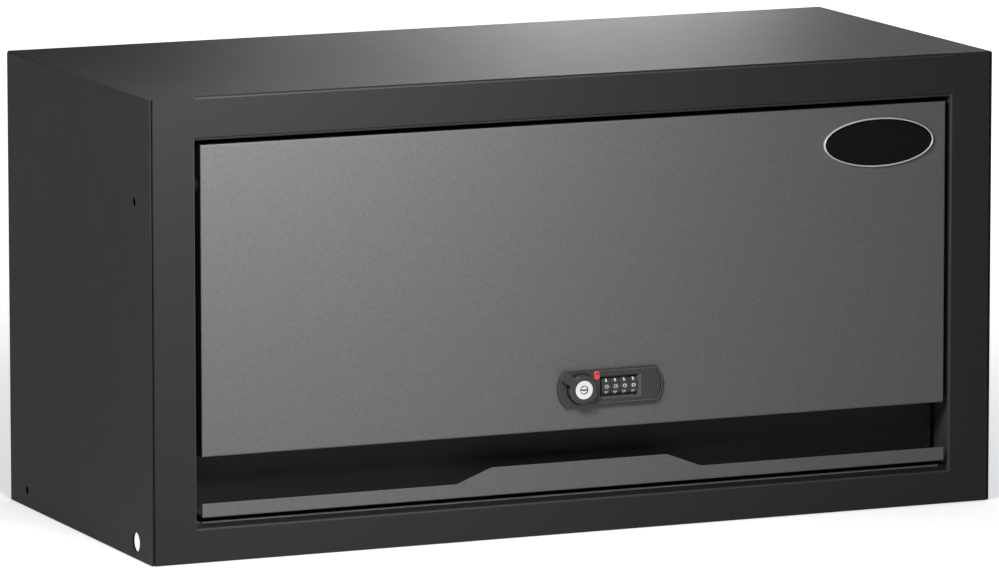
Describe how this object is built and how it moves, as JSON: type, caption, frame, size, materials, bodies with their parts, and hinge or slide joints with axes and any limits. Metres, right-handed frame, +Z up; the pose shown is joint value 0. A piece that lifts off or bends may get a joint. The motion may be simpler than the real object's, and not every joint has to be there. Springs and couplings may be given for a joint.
{
  "type": "wall-mounted tool cabinet",
  "caption": "Wall-mounted workshop cabinet with a lift-up flap held by gas struts, a finger-grip channel and a combination lock with a turning knob.",
  "frame": {"origin": "centre of the whole part's box in X and Y, on the level of the cabinet's lower edges", "axes": "+X to the viewer's right, +Y from the flap to the wall, +Z up"},
  "size_m": [0.68, 0.3068, 0.3435],
  "materials": {
    "body_paint": "fine satin powder coat, dark charcoal",
    "frame_paint": "fine satin powder coat, dark charcoal",
    "flap_paint": "satin metallic grey paint",
    "inner_paint": "satin black paint",
    "plain_steel": "zinc plated",
    "strut_steel": "black paint on a drawn tube",
    "rod_chrome": "hard chrome",
    "lock_plastic": "moulded black",
    "dial_plastic": "moulded black with white numbers",
    "plug_chrome": "satin chrome",
    "signal_red": "red window",
    "bush_nylon": "black nylon",
    "socket_plastic": "moulded black",
    "buffer_rubber": "soft black",
    "badge_face": "bare dark face",
    "badge_silver": "satin chrome"
  },
  "bodies": {
    "cabinet": {"body_shell": "body_paint", "left_stile": "frame_paint", "right_stile": "frame_paint", "top_rail": "frame_paint", "bottom_rail": "frame_paint", "floor_panel": "body_paint", "back_panel": "body_paint", "upper_wall_rail": "plain_steel", "lower_wall_rail": "plain_steel", "pivot_bolts": "plain_steel", "pivot_nuts": "plain_steel", "lock_strike": "inner_paint", "strut_foot_brackets": "inner_paint", "strut_foot_studs": "plain_steel", "foot_bracket_rivets": "plain_steel", "door_stops": "inner_paint", "stop_buffers": "buffer_rubber"},
    "flap": {"door_front_panel": "flap_paint", "door_inner_pan": "inner_paint", "pull_strip": "flap_paint", "pivot_bushes": "bush_nylon", "lock_plate": "lock_plastic", "lock_case": "lock_plastic", "dial_axle": "plain_steel", "status_indicator": "signal_red", "lock_screws": "plain_steel", "strut_head_brackets": "inner_paint", "strut_head_studs": "plain_steel", "head_bracket_rivets": "plain_steel", "badge_plate": "badge_face", "badge_rim": "badge_silver"},
    "knob": {"lock_knob": "lock_plastic", "lock_cam": "plain_steel", "cam_nut": "plain_steel"},
    "key": {"key_plug": "plug_chrome"},
    "dial_1": {"number_dial_1": "dial_plastic"},
    "dial_2": {"number_dial_2": "dial_plastic"},
    "dial_3": {"number_dial_3": "dial_plastic"},
    "dial_4": {"number_dial_4": "dial_plastic"},
    "left_cylinder": {"left_strut_tube": "strut_steel", "left_strut_foot_socket": "socket_plastic"},
    "left_rod": {"left_strut_rod": "rod_chrome", "left_strut_head_socket": "socket_plastic"},
    "right_cylinder": {"right_strut_tube": "strut_steel", "right_strut_foot_socket": "socket_plastic"},
    "right_rod": {"right_strut_rod": "rod_chrome", "right_strut_head_socket": "socket_plastic"}
  },
  "joints": [
    {"name": "flap_swing", "type": "hinge", "parent": "cabinet", "child": "flap", "pos_m": [0, -0.1346, 0.2765], "axis": [-1, 0, 0], "range_deg": [0, 85]},
    {"name": "knob_turn", "type": "hinge", "parent": "flap", "child": "knob", "pos_m": [0, -0.1456, 0.1086], "axis": [0, 1, 0], "range_deg": [0, 90]},
    {"name": "key_turn", "type": "hinge", "parent": "knob", "child": "key", "pos_m": [0, -0.1456, 0.1086], "axis": [0, 1, 0], "range_deg": [0, 90]},
    {"name": "dial_1_spin", "type": "hinge", "parent": "flap", "child": "dial_1", "pos_m": [0.02025, -0.141, 0.1091], "axis": [1, 0, 0], "continuous": true},
    {"name": "dial_2_spin", "type": "hinge", "parent": "flap", "child": "dial_2", "pos_m": [0.02755, -0.141, 0.1091], "axis": [1, 0, 0], "continuous": true},
    {"name": "dial_3_spin", "type": "hinge", "parent": "flap", "child": "dial_3", "pos_m": [0.03485, -0.141, 0.1091], "axis": [1, 0, 0], "continuous": true},
    {"name": "dial_4_spin", "type": "hinge", "parent": "flap", "child": "dial_4", "pos_m": [0.04215, -0.141, 0.1091], "axis": [1, 0, 0], "continuous": true},
    {"name": "left_strut_swing", "type": "hinge", "parent": "cabinet", "child": "left_cylinder", "pos_m": [-0.29, 0.0654, 0.2765], "axis": [-1, 0, 0], "range_deg": [0, 5.6]},
    {"name": "left_rod_slide", "type": "slide", "parent": "left_cylinder", "child": "left_rod", "axis": [0, -0.974, -0.2265], "range_m": [0, 0.063]},
    {"name": "right_strut_swing", "type": "hinge", "parent": "cabinet", "child": "right_cylinder", "pos_m": [0.29, 0.0654, 0.2765], "axis": [-1, 0, 0], "range_deg": [0, 5.6]},
    {"name": "right_rod_slide", "type": "slide", "parent": "right_cylinder", "child": "right_rod", "axis": [0, -0.974, -0.2265], "range_m": [0, 0.063]}
  ],
  "couplings": [
    {"joint": "left_strut_swing", "follows": "flap_swing", "ratio": 0.06544},
    {"joint": "left_rod_slide", "follows": "flap_swing", "m_per_rad": 0.042387},
    {"joint": "right_strut_swing", "follows": "flap_swing", "ratio": 0.06544},
    {"joint": "right_rod_slide", "follows": "flap_swing", "m_per_rad": 0.042387}
  ]
}
